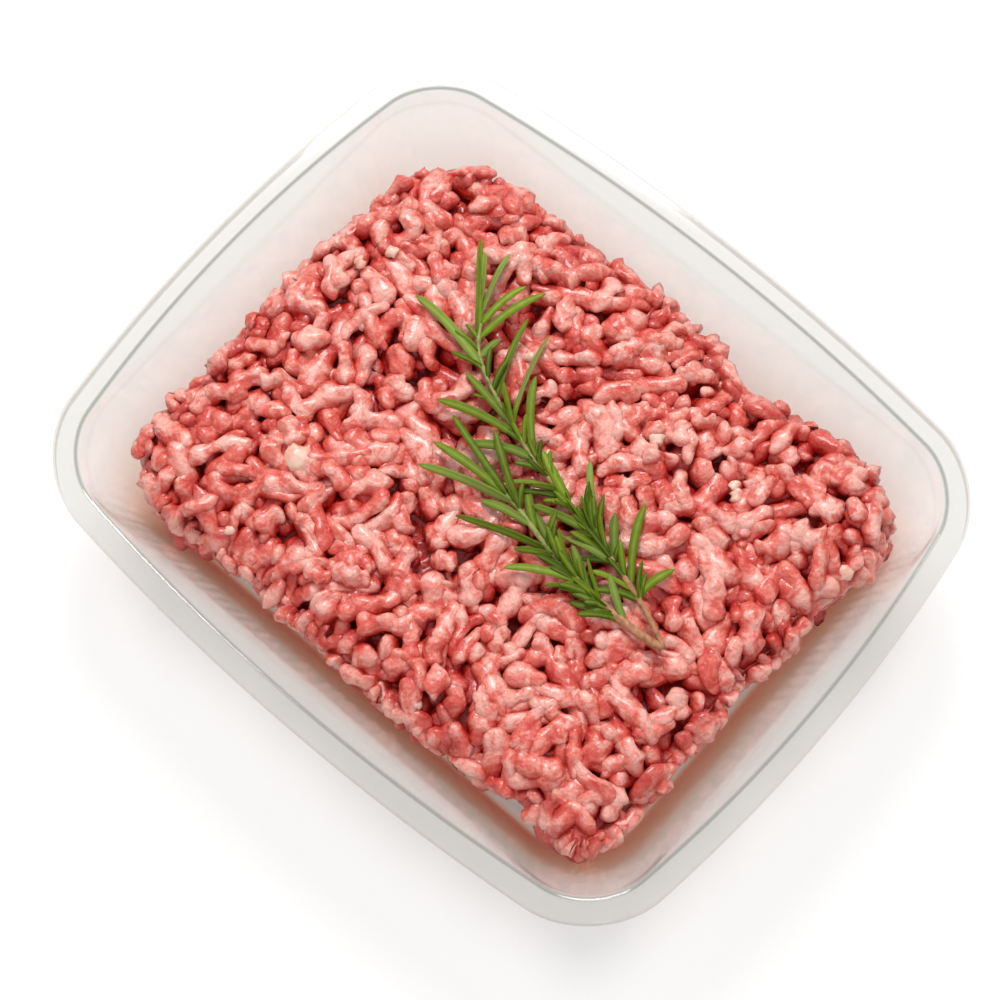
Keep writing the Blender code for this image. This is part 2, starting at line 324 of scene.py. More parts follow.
def raw_mince():
    """Raw minced meat, pressed through a plate: wet red fibre smeared with pale fat.

    Pinker where fat is smeared on the strand and, as painted light, on the upper side of strands near
    the skin; painted shade turns it dark red in the gaps, with short fibres across it and a wet shine
    that breaks up on them.
    """
    material, tree, output = new_material("raw_mince")
    place = node(tree, "TexCoord").outputs["Object"]
    tint = node(tree, "SeparateColor", {0: node(tree, "Attribute", attribute_name="tint").outputs["Color"]})
    smear = node(tree, "TexNoise", {"Vector": place, "Scale": 210.0, "Detail": 4.0, "Roughness": 0.62,
                                    "Distortion": 0.6}).outputs["Fac"]
    # The tint's red: the strand's own fat plus painted light on its upper side near the skin.
    fatness = node(tree, "Math", {0: smear, 1: 2.4, 2: tint.outputs["Red"]},
                   operation="MULTIPLY_ADD").outputs[0]
    fatness = node(tree, "Math", {0: fatness, 1: 2.1}, operation="DIVIDE").outputs[0]
    flesh = ramp(tree, fatness, (0.56, "#CE3A2F"), (0.74, "#E4695A"), (0.95, "#F9B4A6"))
    # Painted shade: the tint's green turns the flesh dark red in the crevices.
    crevice_shade = node(tree, "Mix", {"Factor": tint.outputs["Green"], "A": flesh, "B": linear("#B81C14")},
                data_type="RGBA")
    mince = node(tree, "BsdfPrincipled", {
        "Base Color": crevice_shade.outputs["Result"], "Roughness": 0.38, "IOR": 1.42,
        "Subsurface Weight": 0.2, "Subsurface Radius": (1.0, 0.4, 0.3), "Subsurface Scale": 0.0004,
        "Coat Weight": 0.9, "Coat Roughness": 0.2, "Coat IOR": 1.4,
    })
    fibre = node(tree, "TexNoise", {"Vector": place, "Scale": 900.0, "Detail": 3.0,
                                    "Roughness": 0.6}).outputs["Fac"]
    clump = node(tree, "TexNoise", {"Vector": place, "Scale": 420.0, "Detail": 2.0}).outputs["Fac"]
    height = node(tree, "Math", {0: fibre, 1: 0.35, 2: clump}, operation="MULTIPLY_ADD").outputs[0]
    bump = node(tree, "Bump", {"Height": height, "Strength": 1.0, "Distance": 0.0011})
    tree.links.new(bump.outputs["Normal"], mince.inputs["Normal"])
    tree.links.new(mince.outputs["BSDF"], output.inputs["Surface"])
    return material


def beef_fat():
    """Flecks of raw fat: cream white, waxy and slightly see-through, stained pink here and there."""
    material, tree, output = new_material("beef_fat")
    place = node(tree, "TexCoord").outputs["Object"]
    stain = node(tree, "TexNoise", {"Vector": place, "Scale": 350.0, "Detail": 3.0}).outputs["Fac"]
    colour = ramp(tree, stain, (0.35, "#F3D0BD"), (0.55, "#EFBDA9"), (0.75, "#E59C8A"))
    fat = node(tree, "BsdfPrincipled", {
        "Base Color": colour, "Roughness": 0.4, "Subsurface Weight": 0.4,
        "Subsurface Radius": (1.0, 0.6, 0.45), "Subsurface Scale": 0.0015, "Coat Weight": 0.2,
    })
    bump = node(tree, "Bump", {"Height": stain, "Strength": 0.4, "Distance": 0.0004})
    tree.links.new(bump.outputs["Normal"], fat.inputs["Normal"])
    tree.links.new(fat.outputs["BSDF"], output.inputs["Surface"])
    return material


def clear_pet():
    """Clear PET sheet, 0.5 mm, drawn over a mould: near invisible face on, grey and shiny at a slant.

    Both faces of the sheet pass light straight on, mirror by Schlick's rule and carry a faint haze.
    A tight crease bends the light away and gets a painted grey, and low on the walls a coat of meat
    juices with painted red light reflected from the meat shows where it is looked through at a slant.
    """
    material, tree, output = new_material("clear_pet")
    slant = node(tree, "LayerWeight", {"Blend": 0.5}).outputs["Facing"]
    mirror = node(tree, "Math", {0: slant, 1: 5.0}, operation="POWER").outputs[0]
    mirror = node(tree, "Math", {0: mirror, 1: 0.95, 2: 0.045},
                  operation="MULTIPLY_ADD", use_clamp=True).outputs[0]
    body = ramp(tree, slant, (0.0, "#F5F5F3"), (0.6, "#FAF7F5"), (0.9, "#F8F3EF"), (1.0, "#A5A29C"))
    tint = node(tree, "SeparateColor", {0: node(tree, "Attribute", attribute_name="tint").outputs["Color"]})
    # How much meat juices and painted red light reflected from the meat show: more at a slant and low down.
    path = node(tree, "Math", {0: slant, 1: 2.0}, operation="POWER").outputs[0]
    juice_and_reflection_share = node(tree, "Math", {0: path, 1: tint.outputs["Green"]}, operation="MULTIPLY").outputs[0]
    juice_and_red_reflection = ramp(tree, juice_and_reflection_share, (0.0, "#FFFFFF"), (0.35, "#FBDCCB"), (0.6, "#F8B7A4"), (0.85, "#F08F78"))
    # Painted grey where the sheet creases tightly, for the light it bends away.
    crease = ramp(tree, tint.outputs["Red"], (0.1, "#FFFFFF"), (0.9, "#CBCCC9"))
    stained = node(tree, "Mix", {"Factor": 1.0, "A": body, "B": juice_and_red_reflection},
                   data_type="RGBA", blend_type="MULTIPLY")
    bent = node(tree, "Mix", {"Factor": 1.0, "A": stained.outputs["Result"], "B": crease},
                data_type="RGBA", blend_type="MULTIPLY")
    through = node(tree, "BsdfTransparent", {"Color": bent.outputs["Result"]})
    haze = node(tree, "BsdfDiffuse", {"Color": linear("#F2F0EC"), "Roughness": 0.5})
    sheet = node(tree, "MixShader", {0: 0.10, 1: through.outputs[0], 2: haze.outputs[0]})
    gloss = node(tree, "BsdfGlossy", {"Color": linear("#FFFFFF"), "Roughness": 0.09})
    mixed = node(tree, "MixShader", {0: mirror, 1: sheet.outputs[0], 2: gloss.outputs[0]})
    tree.links.new(mixed.outputs[0], output.inputs["Surface"])
    return material


def rosemary_leaf():
    """Fresh rosemary needle: waxy green, darker at the foot and paler to the tip, with painted
    highlights along its middle and edges and painted shade on its underside.
    """
    material, tree, output = new_material("rosemary_leaf")
    place = node(tree, "TexCoord").outputs["Object"]
    tint = node(tree, "SeparateColor", {0: node(tree, "Attribute", attribute_name="tint").outputs["Color"]})
    mottle = node(tree, "TexNoise", {"Vector": place, "Scale": 500.0, "Detail": 3.0}).outputs["Fac"]
    # The tint's red: the needle's tone with painted highlights and painted shade of the underside.
    tone_and_painted_light = node(tree, "Math", {0: mottle, 1: 0.25, 2: tint.outputs["Red"]},
                 operation="MULTIPLY_ADD").outputs[0]
    green = ramp(tree, tone_and_painted_light, (0.1, "#1B2702"), (0.45, "#485A05"), (0.75, "#718610"), (1.0, "#A6B550"))
    # The tint's green: the needle's own paleness plus a painted highlight along its middle.
    pale = node(tree, "Mix", {"Factor": tint.outputs["Green"], "A": green, "B": linear("#9FAF68")},
                data_type="RGBA")
    leaf = node(tree, "BsdfPrincipled", {
        "Base Color": pale.outputs["Result"], "Roughness": 0.55, "Specular IOR Level": 0.12,
        "Subsurface Weight": 0.1, "Subsurface Radius": (0.4, 1.0, 0.15), "Subsurface Scale": 0.0006,
    })
    bump = node(tree, "Bump", {"Height": mottle, "Strength": 0.25, "Distance": 0.0002})
    tree.links.new(bump.outputs["Normal"], leaf.inputs["Normal"])
    tree.links.new(leaf.outputs["BSDF"], output.inputs["Surface"])
    return material


def rosemary_stem():
    """Young rosemary wood: tan bark with fine lengthwise furrows, greener towards the tip."""
    material, tree, output = new_material("rosemary_stem")
    place = node(tree, "TexCoord").outputs["Object"]
    tint = node(tree, "SeparateColor", {0: node(tree, "Attribute", attribute_name="tint").outputs["Color"]})
    mottle = node(tree, "TexNoise", {"Vector": place, "Scale": 700.0, "Detail": 3.0}).outputs["Fac"]
    bark = ramp(tree, mottle, (0.3, "#8F5A3A"), (0.6, "#B9835C"), (0.8, "#CFA27C"))
    young = ramp(tree, mottle, (0.3, "#6F7A33"), (0.7, "#A3A45C"))
    colour = node(tree, "Mix", {"Factor": tint.outputs["Red"], "A": bark, "B": young}, data_type="RGBA")
    stem = node(tree, "BsdfPrincipled", {"Base Color": colour.outputs["Result"], "Roughness": 0.6})
    bump = node(tree, "Bump", {"Height": mottle, "Strength": 0.4, "Distance": 0.0003})
    tree.links.new(bump.outputs["Normal"], stem.inputs["Normal"])
    tree.links.new(stem.outputs["BSDF"], output.inputs["Surface"])
    return material


def studio_paper():
    """White paper sweep: it looks plain white, yet the object's shadow stays on it.

    What the eye sees of it glows a little besides the light that falls on it, and away from the
    object it fades into plain white.
    """
    material, tree, output = new_material("studio_paper")
    seen = node(tree, "LightPath").outputs["Is Camera Ray"]
    place = node(tree, "TexCoord").outputs["Object"]
    away = node(tree, "VectorMath", {0: place}, operation="LENGTH").outputs["Value"]
    away = node(tree, "MapRange", {"Value": away, "From Min": 0.14, "From Max": 0.5},
                interpolation_type="SMOOTHSTEP").outputs["Result"]
    away = node(tree, "Math", {0: away, 1: seen}, operation="MULTIPLY").outputs[0]
    colour = node(tree, "Mix", {"Factor": seen, "A": linear("#E6E6E6"), "B": (0.66, 0.66, 0.66, 1.0)},
                  data_type="RGBA")
    paper = node(tree, "BsdfDiffuse", {"Color": colour.outputs["Result"]})
    strength = node(tree, "Math", {0: seen, 1: 0.36}, operation="MULTIPLY")
    glow = node(tree, "Emission", {"Color": (1.0, 1.0, 1.0, 1.0), "Strength": strength.outputs[0]})
    both = node(tree, "AddShader", {0: paper.outputs[0], 1: glow.outputs[0]})
    white = node(tree, "Emission", {"Color": (1.0, 1.0, 1.0, 1.0), "Strength": 1.0})
    faded = node(tree, "MixShader", {0: away, 1: both.outputs[0], 2: white.outputs[0]})
    tree.links.new(faded.outputs[0], output.inputs["Surface"])
    return material


# ---------------------------------------------------------------- tray

def rounded_section(stations, reach, steps):
    """Round each inner corner of a section by a quadratic curve between points near it."""
    result = [stations[0]]
    for before, corner, after in zip(stations, stations[1:], stations[2:]):
        pull_in = min(reach / np.linalg.norm((corner - before)[[0, 4]]), 0.45)
        pull_out = min(reach / np.linalg.norm((after - corner)[[0, 4]]), 0.45)
        start = corner + (before - corner) * pull_in
        end = corner + (after - corner) * pull_out
        t = np.linspace(0.0, 1.0, steps)[:, None]
        result.extend((1 - t) ** 2 * start + 2 * t * (1 - t) * corner + t * t * end)
    result.append(stations[-1])
    return np.array(result)


def tray_rings(stations, corner_steps=60, long_steps=220, short_steps=160):
    """Rings of a bowed rounded rectangle for stations (half x, half y, corner, bow, level, rib).

    A side swells by bow * (1 - (s / half side)^2), s being the place along that side. The rib
    column gives the depth of a wave of fixed pitch, square to the outline.
    """
    half_x, half_y, corner, bow, level, rib = stations.T[:, :, None]
    points = []
    normals = []
    for quarter in range(4):
        sign_x = 1 if quarter in (0, 3) else -1
        sign_y = 1 if quarter in (0, 1) else -1
        angle = math.pi / 2 * (quarter + np.linspace(0, 1, corner_steps))
        x = sign_x * (half_x - corner) + corner * np.cos(angle)
        y = sign_y * (half_y - corner) + corner * np.sin(angle)
        points.append(np.stack((x, y), -1))
        normals.append(np.stack((np.cos(angle), np.sin(angle)), -1))
        heading = math.pi / 2 * (quarter + 2)
        steps = long_steps if quarter % 2 == 0 else short_steps
        run = 2 * ((half_x if quarter % 2 == 0 else half_y) - corner)
        share = np.linspace(0, 1, steps + 1)[None, 1:-1]
        start = points[-1][:, -1:]
        points.append(start + (run * share)[..., None] * (math.cos(heading), math.sin(heading)))
        facing = math.pi / 2 * (quarter + 1)
        normals.append(np.tile((math.cos(facing), math.sin(facing)), (steps - 1, 1)))
    flat = np.concatenate(points, 1)
    normal = np.concatenate(normals, 0)[None]
    x, y = flat[..., 0], flat[..., 1]
    swollen = np.stack((
        x + bow * (1 - (y / half_y) ** 2) * x / half_x,
        y + bow * (1 - (x / half_x) ** 2) * y / half_y,
    ), -1)
    steps = np.linalg.norm(np.diff(flat, axis=1, append=flat[:, :1]), axis=-1)
    middle = len(stations) // 4
    length = np.cumsum(steps[middle])
    count = round(length[-1] / RIB_PITCH)
    wave = 0.5 - 0.5 * np.cos(2 * math.pi * count * length / length[-1])
    swollen = swollen - normal * (rib * wave[None])[..., None]
    return np.concatenate((swollen, np.broadcast_to(level[..., None], (*x.shape, 1))), -1)


def tray_stations():
    """The sheet's upper face from the floor to the lip, as (half x, half y, corner, bow, level, rib)."""
    mouth_level = RIM_LEVEL - MOUTH_DROP
    lean = math.atan2(MOUTH[0] - FOOT[0], mouth_level - SHEET)
    turn = math.pi / 2 - lean
    reach = FOOT_RADIUS * math.tan(turn / 2)

    def station(outline, inset, level, rib=0.0):
        return np.array((*(outline - (inset, inset, inset, 0.0)), level, rib))

    floor = [station(FOOT, inset, SHEET) for inset in FLOOR_INSETS]
    bend = []
    for angle in np.linspace(0.0, turn, 7):
        inset = reach - FOOT_RADIUS * math.sin(angle)
        bend.append(station(FOOT, inset, SHEET + FOOT_RADIUS * (1 - math.cos(angle))))
    foot_end = bend[-1]
    mouth = station(MOUTH, 0.0, mouth_level)
    wall = []
    for t in np.linspace(0.0, 1.0, WALL_STEPS)[1:-1]:
        ribbed = foot_end + (mouth - foot_end) * t
        ribbed[5] = RIB_DEPTH * smoothstep((t - 0.3) / 0.3) * smoothstep((1 - t) / 0.12)
        wall.append(ribbed)
    rim = rounded_section([
        mouth,
        station(RIM, RIM_WIDTH + STEP_EDGE, RIM_LEVEL - STEP_EDGE),
        station(RIM, RIM_WIDTH, RIM_LEVEL),
        station(RIM, 0.0, RIM_LEVEL),
        station(RIM, 0.0, RIM_LEVEL - LIP_DROP),
    ], EDGE_ROUNDING, 5)
    return np.array((*floor, *bend, *wall, *rim))


def underside(upper):
    """The same stations one sheet thickness lower, measured square to the section."""
    places = np.stack((upper[:, 0] + upper[:, 3], upper[:, 4]), -1)
    places = np.concatenate(((places[0] - (0.01, 0.0))[None], places))
    along = unit(np.diff(places, axis=0))
    normals = np.stack((along[:, 1], -along[:, 0]), -1)
    after = np.concatenate((normals[1:], normals[-1:]))
    shift = SHEET * (normals + after) / (1 + (normals * after).sum(-1, keepdims=True))
    lower = upper.copy()
    lower[:, :3] += shift[:, :1]
    lower[:, 4] += shift[:, 1]
    return lower


def sheet_crease(upper):
    """How tightly the sheet bends at each station: turn of the section per millimetre, 0 to 1.

    The rolled outer edge counts as flat.
    """
    places = np.stack((upper[:, 0] + upper[:, 3], upper[:, 4]), -1)
    steps = np.diff(places, axis=0)
    heading = np.arctan2(steps[:, 1], steps[:, 0])
    length = np.linalg.norm(steps, axis=-1)
    rate = np.abs(np.diff(heading)) / (0.5 * (length[1:] + length[:-1])) * MM
    rate = np.concatenate(((0.0,), rate, (0.0,)))
    return np.clip(rate, 0.0, 1.0) * (upper[:, 0] < RIM[0] - 0.5 * RIM_WIDTH)


def build_tray(material):
    """The formed sheet: one closed skin up the inner face, over the lip and down the outside."""
    upper = tray_stations()
    rings = tray_rings(np.concatenate((upper, underside(upper)[::-1])))
    crease = sheet_crease(upper)
    points, quads, triangles = closed_skin(rings)
    tint = np.zeros((len(points), 2))
    # Red: how tightly the sheet bends, which sets the painted grey of a crease.
    tint[:-2, 0] = np.repeat(np.concatenate((crease, crease[::-1])), rings.shape[1])
    # Green: low on the walls, where meat juices and painted red light reflected from the meat show.
    tint[:, 1] = smoothstep(1 - points[:, 2] / (RIM_LEVEL - MOUTH_DROP))
    piece = add_piece("formed_tray", points, quads, triangles, material, tint)
    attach(piece, "root")
    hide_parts("tray")


# ---------------------------------------------------------------- heap

def heap_outline():
    """Plan radius of the heap's solid at its widest level, as (headings, radii) going round."""
    corners = np.empty(len(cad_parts["mince"].data.vertices) * 3)
    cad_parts["mince"].data.vertices.foreach_get("co", corners)
    corners = corners.reshape(-1, 3)
    ring = corners[np.abs(corners[:, 2] - WIDEST_LEVEL) < 0.05 * MM]
    heading = np.arctan2(ring[:, 1], ring[:, 0])
    order = np.argsort(heading)
    return heading[order], np.hypot(ring[:, 0], ring[:, 1])[order]


OUTLINE_HEADINGS, OUTLINE_RADII = heap_outline()


def outline_radius(heading):
    """Plan radius of the heap at any heading."""
    wrapped = np.arctan2(np.sin(heading), np.cos(heading))
    return np.interp(wrapped, OUTLINE_HEADINGS, OUTLINE_RADII, period=2 * math.pi)


def outline_track(step):
    """The heap's outline at equal steps: length so far, points and outward normals.

    The normal is the track's direction turned by a quarter, averaged over a few steps.
    """
    heading = np.linspace(-math.pi, math.pi, 2881)
    radius = outline_radius(heading)
    track = np.stack((np.cos(heading), np.sin(heading)), -1) * radius[:, None]
    length = np.concatenate(((0.0,), np.cumsum(np.linalg.norm(np.diff(track, axis=0), axis=1))))
    place = np.arange(0.0, length[-1], step)
    points = np.stack([np.interp(place, length, track[:, axis]) for axis in (0, 1)], -1)
    ahead = sum(np.roll(points, -shift, 0) - np.roll(points, shift, 0) for shift in (3, 6, 9, 12))
    return place, points, unit(np.stack((ahead[:, 1], -ahead[:, 0]), -1))


def skin_height(x, y):
    """Level of the heap's skin: hills and hollows inside, falling over a shoulder at the outline.

    height = top + hills + dips - shoulder drop * (1 - d / shoulder)^2, d being the distance inside
    the outline, and it stays at the foot of that fall outside.
    """
    flat = np.stack((x, y), -1)
    inside = outline_radius(np.arctan2(y, x)) - np.hypot(x, y) - 1.0 * MM
    edge = 1 - np.clip(inside / SHOULDER, -0.1, 1.0)
    swell = HILL_HEIGHT * cloud(flat, HILL_SIZE, 3) + DIP_DEPTH * cloud(flat, DIP_SIZE, 4)
    return TOP_LEVEL - DIP_DEPTH + swell - SHOULDER_DROP * edge ** 2


class Field:
    """A height kept on a grid of square cells, raised by every strand that is laid on it."""

    def __init__(self, low, shape, heights, base, wraps):
        self.low = np.array(low)
        self.shape = shape
        self.height = heights
        self.base = base
        self.wraps = wraps
        self.reach = 4
        offsets = np.arange(-self.reach, self.reach + 1)
        self.window = np.meshgrid(offsets, offsets, indexing="ij")

    def cells(self, flat):
        """Row and column of each flat point; rows wrap round where the field does."""
        place = np.rint((flat - self.low) / CELL).astype(int)
        rows = place[..., 0] % self.shape[0] if self.wraps else np.clip(place[..., 0], 0, self.shape[0] - 1)
        return rows, np.clip(place[..., 1], 0, self.shape[1] - 1)

    def read(self, flat):
        """Height under each flat point."""
        return self.height[self.cells(flat)]

    def spread(self, reach):
        """The skin stretched over the heap: the most that anything within reach stands above the
        base, softened, on top of the base."""
        skin = self.height - self.base
        for axis in (0, 1):
            skin = np.max([np.roll(skin, shift, axis) for shift in range(-reach, reach + 1)], axis=0)
        for axis in (0, 1):
            skin = np.mean([np.roll(skin, shift, axis) for shift in range(-reach, reach + 1)], axis=0)
        return Field(self.low, self.shape, skin + self.base, self.base, self.wraps)

    def raise_to(self, flat, level, radius):
        """Raise the field to the tops of balls: level + sqrt(radius^2 - d^2) around each point."""
        rows, columns = self.cells(flat)
        rows = rows[:, None, None] + self.window[0]
        columns = np.clip(columns[:, None, None] + self.window[1], 0, self.shape[1] - 1)
        rows = rows % self.shape[0] if self.wraps else np.clip(rows, 0, self.shape[0] - 1)
        distance = (self.window[0] ** 2 + self.window[1] ** 2) * CELL ** 2
        ball = level[:, None, None] + np.sqrt(np.maximum(radius[:, None, None] ** 2 - distance, 0.0))
        ball = np.where(distance < radius[:, None, None] ** 2, ball, -1.0)
        np.maximum.at(self.height, (rows.ravel(), columns.ravel()), ball.ravel())


def plan_lines(centre, heading, length, bend, rows):
    """Level arcs (pieces, rows, 2): from each centre both ways, turning by bend per metre."""
    along = (np.linspace(-0.5, 0.5, rows)[None] * length[:, None])
    angle = heading[:, None] + bend[:, None] * along
    step = np.stack((np.cos(angle), np.sin(angle)), -1) * (length / (rows - 1))[:, None, None]
    line = np.cumsum(step, axis=1)
    return line - line.mean(1, keepdims=True) + centre[:, None]


def lay_strands(field, cap, count, spots, heading, size, sink, keep_in, rows=10, choices=12):
    """Lay strands one by one, each on the emptiest of a few random spots, until there is no room.

    A strand takes the height of what lies under it, smoothed along its length so that it bends
    like soft meat, plus (1 - sink) of its radius, and is pressed in until its top is at the cap.
    Returns the lines (strands, rows, 3) and radii.
    """
    length, radius, bend = size(count)
    rise = rng.normal(0, 0.8 * MM, count)
    lines = np.empty((count, rows, 3))
    used = 0
    misses = 0
    while used < count and misses < VAIN_TRIES:
        centres = spots(choices)
        gaps = cap(centres) - field.read(centres)
        best = np.argmax(gaps)
        if gaps[best] < LEAST_ROOM:
            misses += 1
            continue
        centre = centres[best][None]
        flat = plan_lines(centre, heading(centre), length[used:used + 1], bend[used:used + 1], rows)[0]
        flat = keep_in(flat)
        under = field.read(flat)
        for _ in range(3):
            padded = np.concatenate((under[:1], under, under[-1:]))
            under = np.maximum(0.25 * padded[:-2] + 0.5 * under + 0.25 * padded[2:], under - 1.0 * MM)
        level = np.minimum(under + radius[used] * (1 - sink), cap(flat) + rise[used] - 0.8 * radius[used])
        field.raise_to(flat, level, np.full(rows, radius[used]))
        lines[used, :, :2] = flat
        lines[used, :, 2] = level
        used += 1
    return lines[:used], radius[:used]


def strand_sizes(shortest, longest):
    """Random lengths, radii and bends of strands: mostly short broken pieces, a few long."""
    def draw(count):
        length = (shortest + (longest - shortest) * rng.beta(1.1, 2.6, count)) * MM
        radius = STRAND_RADIUS * (0.62 + 0.58 * rng.beta(2.2, 1.6, count))
        bend = rng.normal(0, 60.0, count)
        return length, radius, bend
    return draw


def strand_rings(lines, radius, rows, sides):
    """Lumpy torn strands, their ends anything from blunt to drawn out.

    r = radius * (1 - |2t - 1|^p)^(1/q) * (1 + swell along t) * (1 + lengthwise folds that drift
    round the strand) * (1 + cloud noise of 3.8 mm and 2 mm), p and q differing from strand to
    strand.
    """
    count, spots, _ = lines.shape
    t = (1 - np.cos(np.linspace(0.16, math.pi - 0.16, rows))) / 2
    place = np.linspace(0, 1, spots)
    before = np.clip(np.searchsorted(place, t, side="right") - 1, 0, spots - 2)
    share = ((t - place[before]) * (spots - 1))[None, :, None]
    middle = lines[:, before] * (1 - share) + lines[:, before + 1] * share
    angle = 2 * math.pi * np.arange(sides) / sides

    def wave(low, high):
        turns = rng.uniform(low, high, (count, 1)) * t + rng.uniform(0, 1, (count, 1))
        return np.sin(2 * math.pi * turns)

    blunt = rng.uniform(2.0, 7.0, (count, 1))
    full = rng.uniform(1.2, 2.4, (count, 1))
    ends = (1 - np.abs(2 * t - 1) ** blunt) ** (1 / full)
    size = radius[:, None] * ends * (1 + 0.16 * wave(0.8, 2.4))
    flat = rng.uniform(0.68, 0.98, (count, 1))
    roll = rng.uniform(-0.7, 0.7, (count, 1)) + 0.6 * wave(0.2, 0.6)
    rings = cords(middle, size * 1.16, size * flat, round_section(sides), roll)
    folds = 0.10 * np.sin(2 * angle + 3.0 * wave(0.3, 0.9)[..., None])
    folds = folds + 0.09 * np.sin(3 * angle + 3.0 * wave(0.3, 0.9)[..., None])
    outward = rings - middle[:, :, None]
    rough = 0.26 * cloud(rings, 3.8 * MM, 5) + 0.18 * cloud(rings, 2.0 * MM, 6)
    return middle[:, :, None] + outward * (1 + folds + rough)[..., None]


def strand_tint(stand, below, fatness):
    """Red: how pale the point is, its strand's fat plus painted light on its upper side. Green: painted
    shade, how far down in a crevice it lies, 0 to 1.

    Stand is how far the point is on its strand's upper side, in radii, and below its depth under
    the skin stretched over the heap.
    """
    below = below / MM
    # Painted light: a strand's upper side near the skin is made paler, as if lit from above.
    top = smoothstep((stand + 0.7) / 1.8) * (1 - smoothstep((below - 0.5) / 3.0))
    # Painted shade: the lower a point lies in a crevice, the darker red it gets.
    crevice_shade = smoothstep((below - 0.6 - 1.2 * stand) / 3.8)
    return np.stack((fatness[:, None, None] + 0.24 * top, crevice_shade, np.zeros_like(crevice_shade)), -1)


def upper_side(rings, radius, up):
    """How far each point of a batch of strands lies along up from its strand's line, in radii."""
    return ((rings - rings.mean(2, keepdims=True)) * up).sum(-1) / radius[:, None, None]


def add_meat(name, points, quads, triangles, tint, material, slot="raw_meat"):
    """One piece of meat, riding on the pack and standing for the heap."""
    piece = add_piece(name, points, quads, triangles, material, tint)
    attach(piece, "root")
    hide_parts("mince")


def grain_heading(centres, size, seed, spread):
    """Direction of the strands: a soft swirl over the heap, and each strand's own deviation."""
    swirl = 1.6 * math.pi * cloud(centres, size, seed)
    return swirl + rng.normal(0, spread, len(centres))


def top_spots(count):
    """Random plan points inside the outline."""
    heading = rng.uniform(0, 2 * math.pi, count * 3)
    reach = FIELD_HALF[0] * 1.3 * np.sqrt(rng.uniform(0, 1, count * 3))
    room = outline_radius(heading) - 3.0 * MM
    keep = np.flatnonzero(reach < room)[:count]
    if len(keep) == 0:
        return top_spots(count)
    return np.stack((np.cos(heading[keep]) * reach[keep], np.sin(heading[keep]) * reach[keep]), -1)


def stay_inside(flat):
    """Pull plan points that pass the outline back to just inside it, along their heading."""
    reach = np.hypot(flat[:, 0], flat[:, 1])
    room = outline_radius(np.arctan2(flat[:, 1], flat[:, 0])) - 2.4 * MM
    return flat * np.minimum(1.0, room / reach)[:, None]


def build_core(material):
    """The closed core under the strands: rings up the side and in over the top, as rough relief."""
    _, outline, normal = outline_track(1.2 * MM)
    rings = []
    for level, inset in zip(SIDE_LEVELS[:5], SIDE_INSETS[:5]):
        flat = outline - normal * (inset + CORE_INSET)
        rings.append(np.concatenate((flat, np.full((len(flat), 1), level)), 1))
    for share in np.concatenate((np.linspace(1.0, 0.86, 8), np.linspace(0.84, 0.02, 54))):
        flat = (outline - normal * CORE_INSET) * share
        level = skin_height(flat[:, 0], flat[:, 1]) - TOP_LAYER
        rings.append(np.concatenate((flat, level[:, None]), 1))
    rings = np.array(rings)
    lumps = 1.4 * cloud(rings, 3.4 * MM, 9) + 0.8 * cloud(rings, 1.8 * MM, 8)
    rings[:, :, 2] += lumps * MM * (rings[:, :, 2] > 2 * MM)
    points, quads, triangles = closed_skin(rings)
    # Painted shade: the core lies under the strands and is kept dark red.
    tint = np.tile((0.2, 0.8, 0.0), (len(points), 1))
    add_meat("mince_core", points, quads, triangles, tint, material)


def build_top(meat):
    """Strands heaped on the core up to the skin of the heap; returns the field of their height."""
    shape = tuple((2 * FIELD_HALF / CELL).astype(int))
    rows, columns = np.meshgrid(*(np.arange(n) for n in shape), indexing="ij")
    skin = skin_height(rows * CELL - FIELD_HALF[0], columns * CELL - FIELD_HALF[1])
    field = Field(-FIELD_HALF, shape, skin - TOP_LAYER, skin, wraps=False)

    def cap(flat):
        return skin_height(flat[..., 0], flat[..., 1])

    lines, radius = lay_strands(field, cap, 1500, top_spots,
                                lambda c: grain_heading(c, TOP_SWIRL, 11, 0.38),
                                strand_sizes(*TOP_LENGTHS), TOP_SINK, stay_inside)
    stretched = field.spread(4)
    fatness = rng.normal(0.34, 0.10, len(lines))
    half = len(lines) // 2
    for name, part, detail in (("mince_lower_strands", slice(None, half), (10, 9)),
                               ("mince_upper_strands", slice(half, None), (15, 12))):
        rings = strand_rings(lines[part], radius[part], *detail)
        below = stretched.read(rings[..., :2]) - rings[..., 2]
        # Tint with painted light on the strands' upper sides and painted shade in the crevices.
        tint = strand_tint(upper_side(rings, radius[part], (0, 0, 1)), below, fatness[part])
        add_meat(name, *many_skins(rings, tint), meat)
    return field


